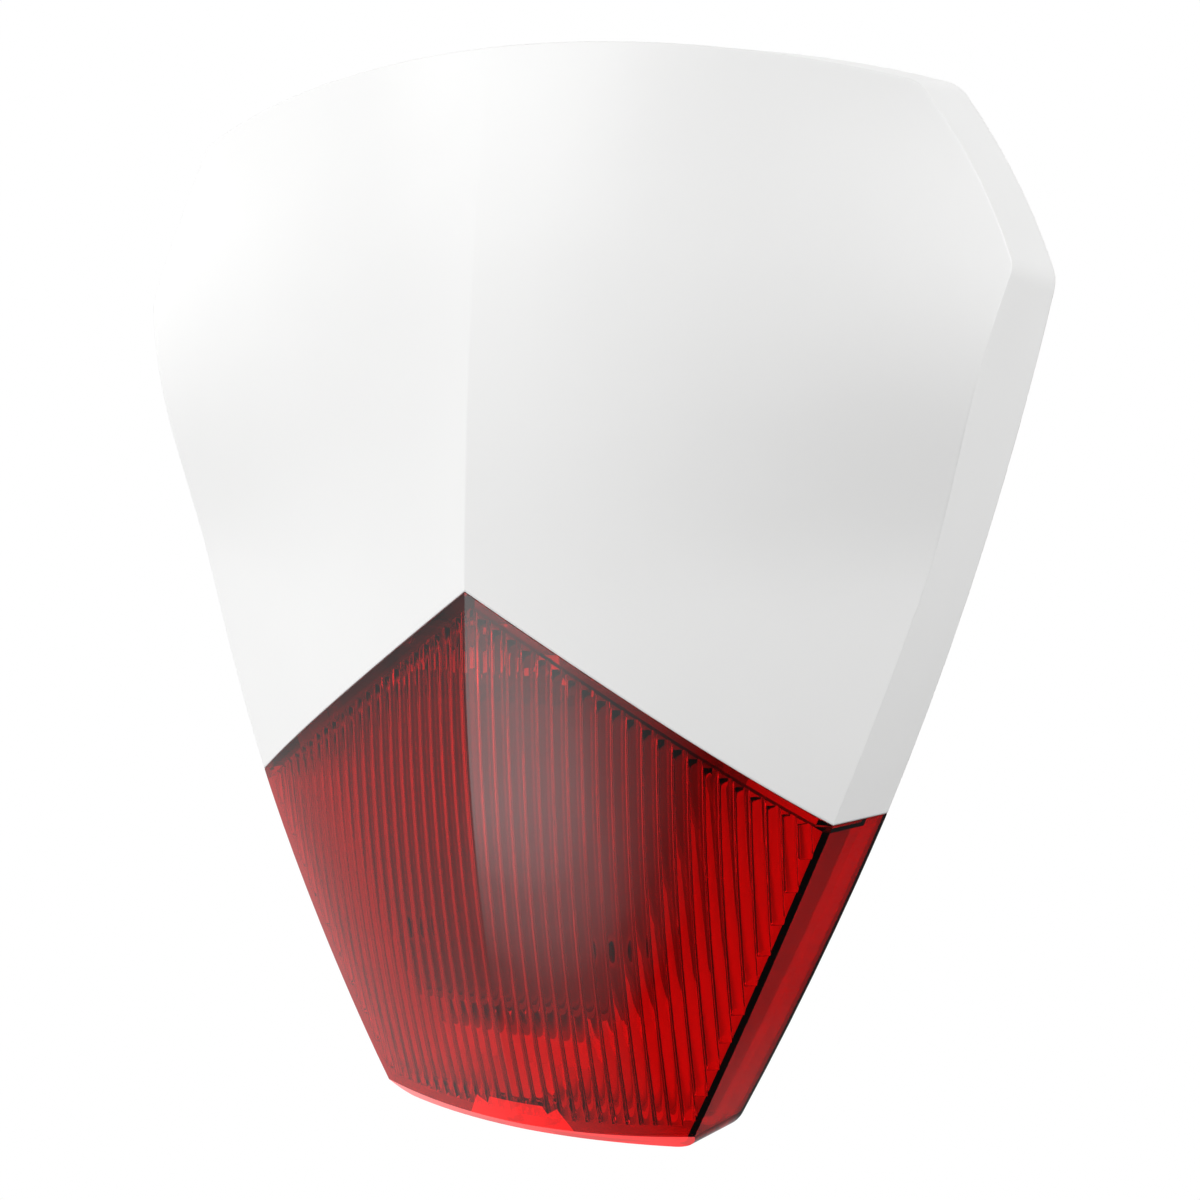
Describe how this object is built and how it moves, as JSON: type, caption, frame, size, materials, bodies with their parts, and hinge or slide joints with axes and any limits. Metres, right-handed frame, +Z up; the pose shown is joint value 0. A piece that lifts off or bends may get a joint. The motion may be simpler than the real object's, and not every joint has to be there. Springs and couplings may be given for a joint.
{
  "type": "alarm siren",
  "caption": "Shield-shaped outdoor alarm siren with a smooth white ridged cover over a fluted red strobe lens, on a wall plate with hooks, sounder, batteries and tamper switches.",
  "frame": {"origin": "on the wall plane and the symmetry plane, close to mid-height", "axes": "+X to the viewer's right, +Y into the wall, +Z up; the lens faces -Y"},
  "size_m": [0.224, 0.0636, 0.2641],
  "materials": {
    "cover_white": "satin UV-stable white ABS, fine smooth moulding",
    "lens_red": "clear red polycarbonate, vertical flutes inside",
    "seal_rubber": "soft black EPDM",
    "zinc_screw": "zinc-plated steel",
    "stainless": "plain stainless steel",
    "plate_white": "matte white ABS",
    "dark_plastic": "dark grey moulded ABS",
    "black_plastic": "black moulded nylon",
    "driver_metal": "pressed aluminium can",
    "brass_disc": "brass disc with a ceramic element",
    "pcb_green": "green solder mask",
    "pcb_white": "white solder mask",
    "led_yellow": "phosphor-coated emitter in a white body",
    "led_green": "tinted clear epoxy",
    "tin_can": "tin-plated steel",
    "socket_white": "natural nylon",
    "cell_wrap": "printed shrink sleeve with plain bands",
    "spring_steel": "nickel-plated spring steel",
    "vial": "tinted clear acrylic with a bubble",
    "button_red": "moulded nylon"
  },
  "bodies": {
    "base": {"back_plate": "plate_white", "cable_grommet": "seal_rubber", "sound_chamber": "dark_plastic", "chamber_screws": "zinc_screw", "sounder_driver": "driver_metal", "sounder_diaphragm": "brass_disc", "horn": "black_plastic", "main_board": "pcb_green", "board_screws": "zinc_screw", "strobe_board": "pcb_white", "strobe_screws": "zinc_screw", "strobe_leds": "led_yellow", "radio_shield": "tin_can", "antenna": "spring_steel", "board_socket": "socket_white", "front_tamper_switch": "black_plastic", "front_tamper_spring": "spring_steel", "wall_tamper_switch": "black_plastic", "power_switch": "tin_can", "reset_switch": "tin_can", "status_led": "led_green", "battery_tray": "black_plastic", "battery_cells": "cell_wrap", "battery_contacts": "spring_steel", "battery_springs": "spring_steel", "spirit_level": "vial"},
    "cover": {"cover_shell": "cover_white", "lens": "lens_red", "lens_seal": "seal_rubber", "lens_screws": "zinc_screw"},
    "clip": {"screw_clip": "spring_steel"},
    "screw": {"cover_screw": "stainless"},
    "front_plunger": {"front_tamper_plunger": "socket_white"},
    "wall_plunger": {"wall_tamper_plunger": "socket_white"},
    "power_knob": {"power_slider": "black_plastic"},
    "reset_key": {"reset_button": "button_red"}
  },
  "joints": [
    {"name": "cover_swing", "type": "hinge", "parent": "base", "child": "cover", "pos_m": [0, -0.007, 0.121], "axis": [-1, 0, 0], "range_deg": [0, 30]},
    {"name": "screw_back_out", "type": "slide", "parent": "base", "child": "clip", "axis": [0, 0, -1], "range_m": [0, 0.003]},
    {"name": "screw_turn", "type": "hinge", "parent": "clip", "child": "screw", "pos_m": [0, -0.027, -0.11], "axis": [0, 0, -1], "range_deg": [-840, 0]},
    {"name": "front_tamper_travel", "type": "slide", "parent": "base", "child": "front_plunger", "axis": [0, -1, 0], "range_m": [0, 0.003]},
    {"name": "wall_tamper_travel", "type": "slide", "parent": "base", "child": "wall_plunger", "axis": [0, 1, 0], "range_m": [0, 0.003]},
    {"name": "power_slide", "type": "slide", "parent": "base", "child": "power_knob", "axis": [1, 0, 0], "range_m": [0, 0.0025]},
    {"name": "reset_press", "type": "slide", "parent": "base", "child": "reset_key", "axis": [0, 1, 0], "range_m": [0, 0.0004]}
  ],
  "couplings": [
    {"joint": "screw_turn", "follows": "screw_back_out", "rad_per_m": -4833.2},
    {"joint": "front_tamper_travel", "follows": "cover_swing", "m_per_rad": 0.005729}
  ]
}
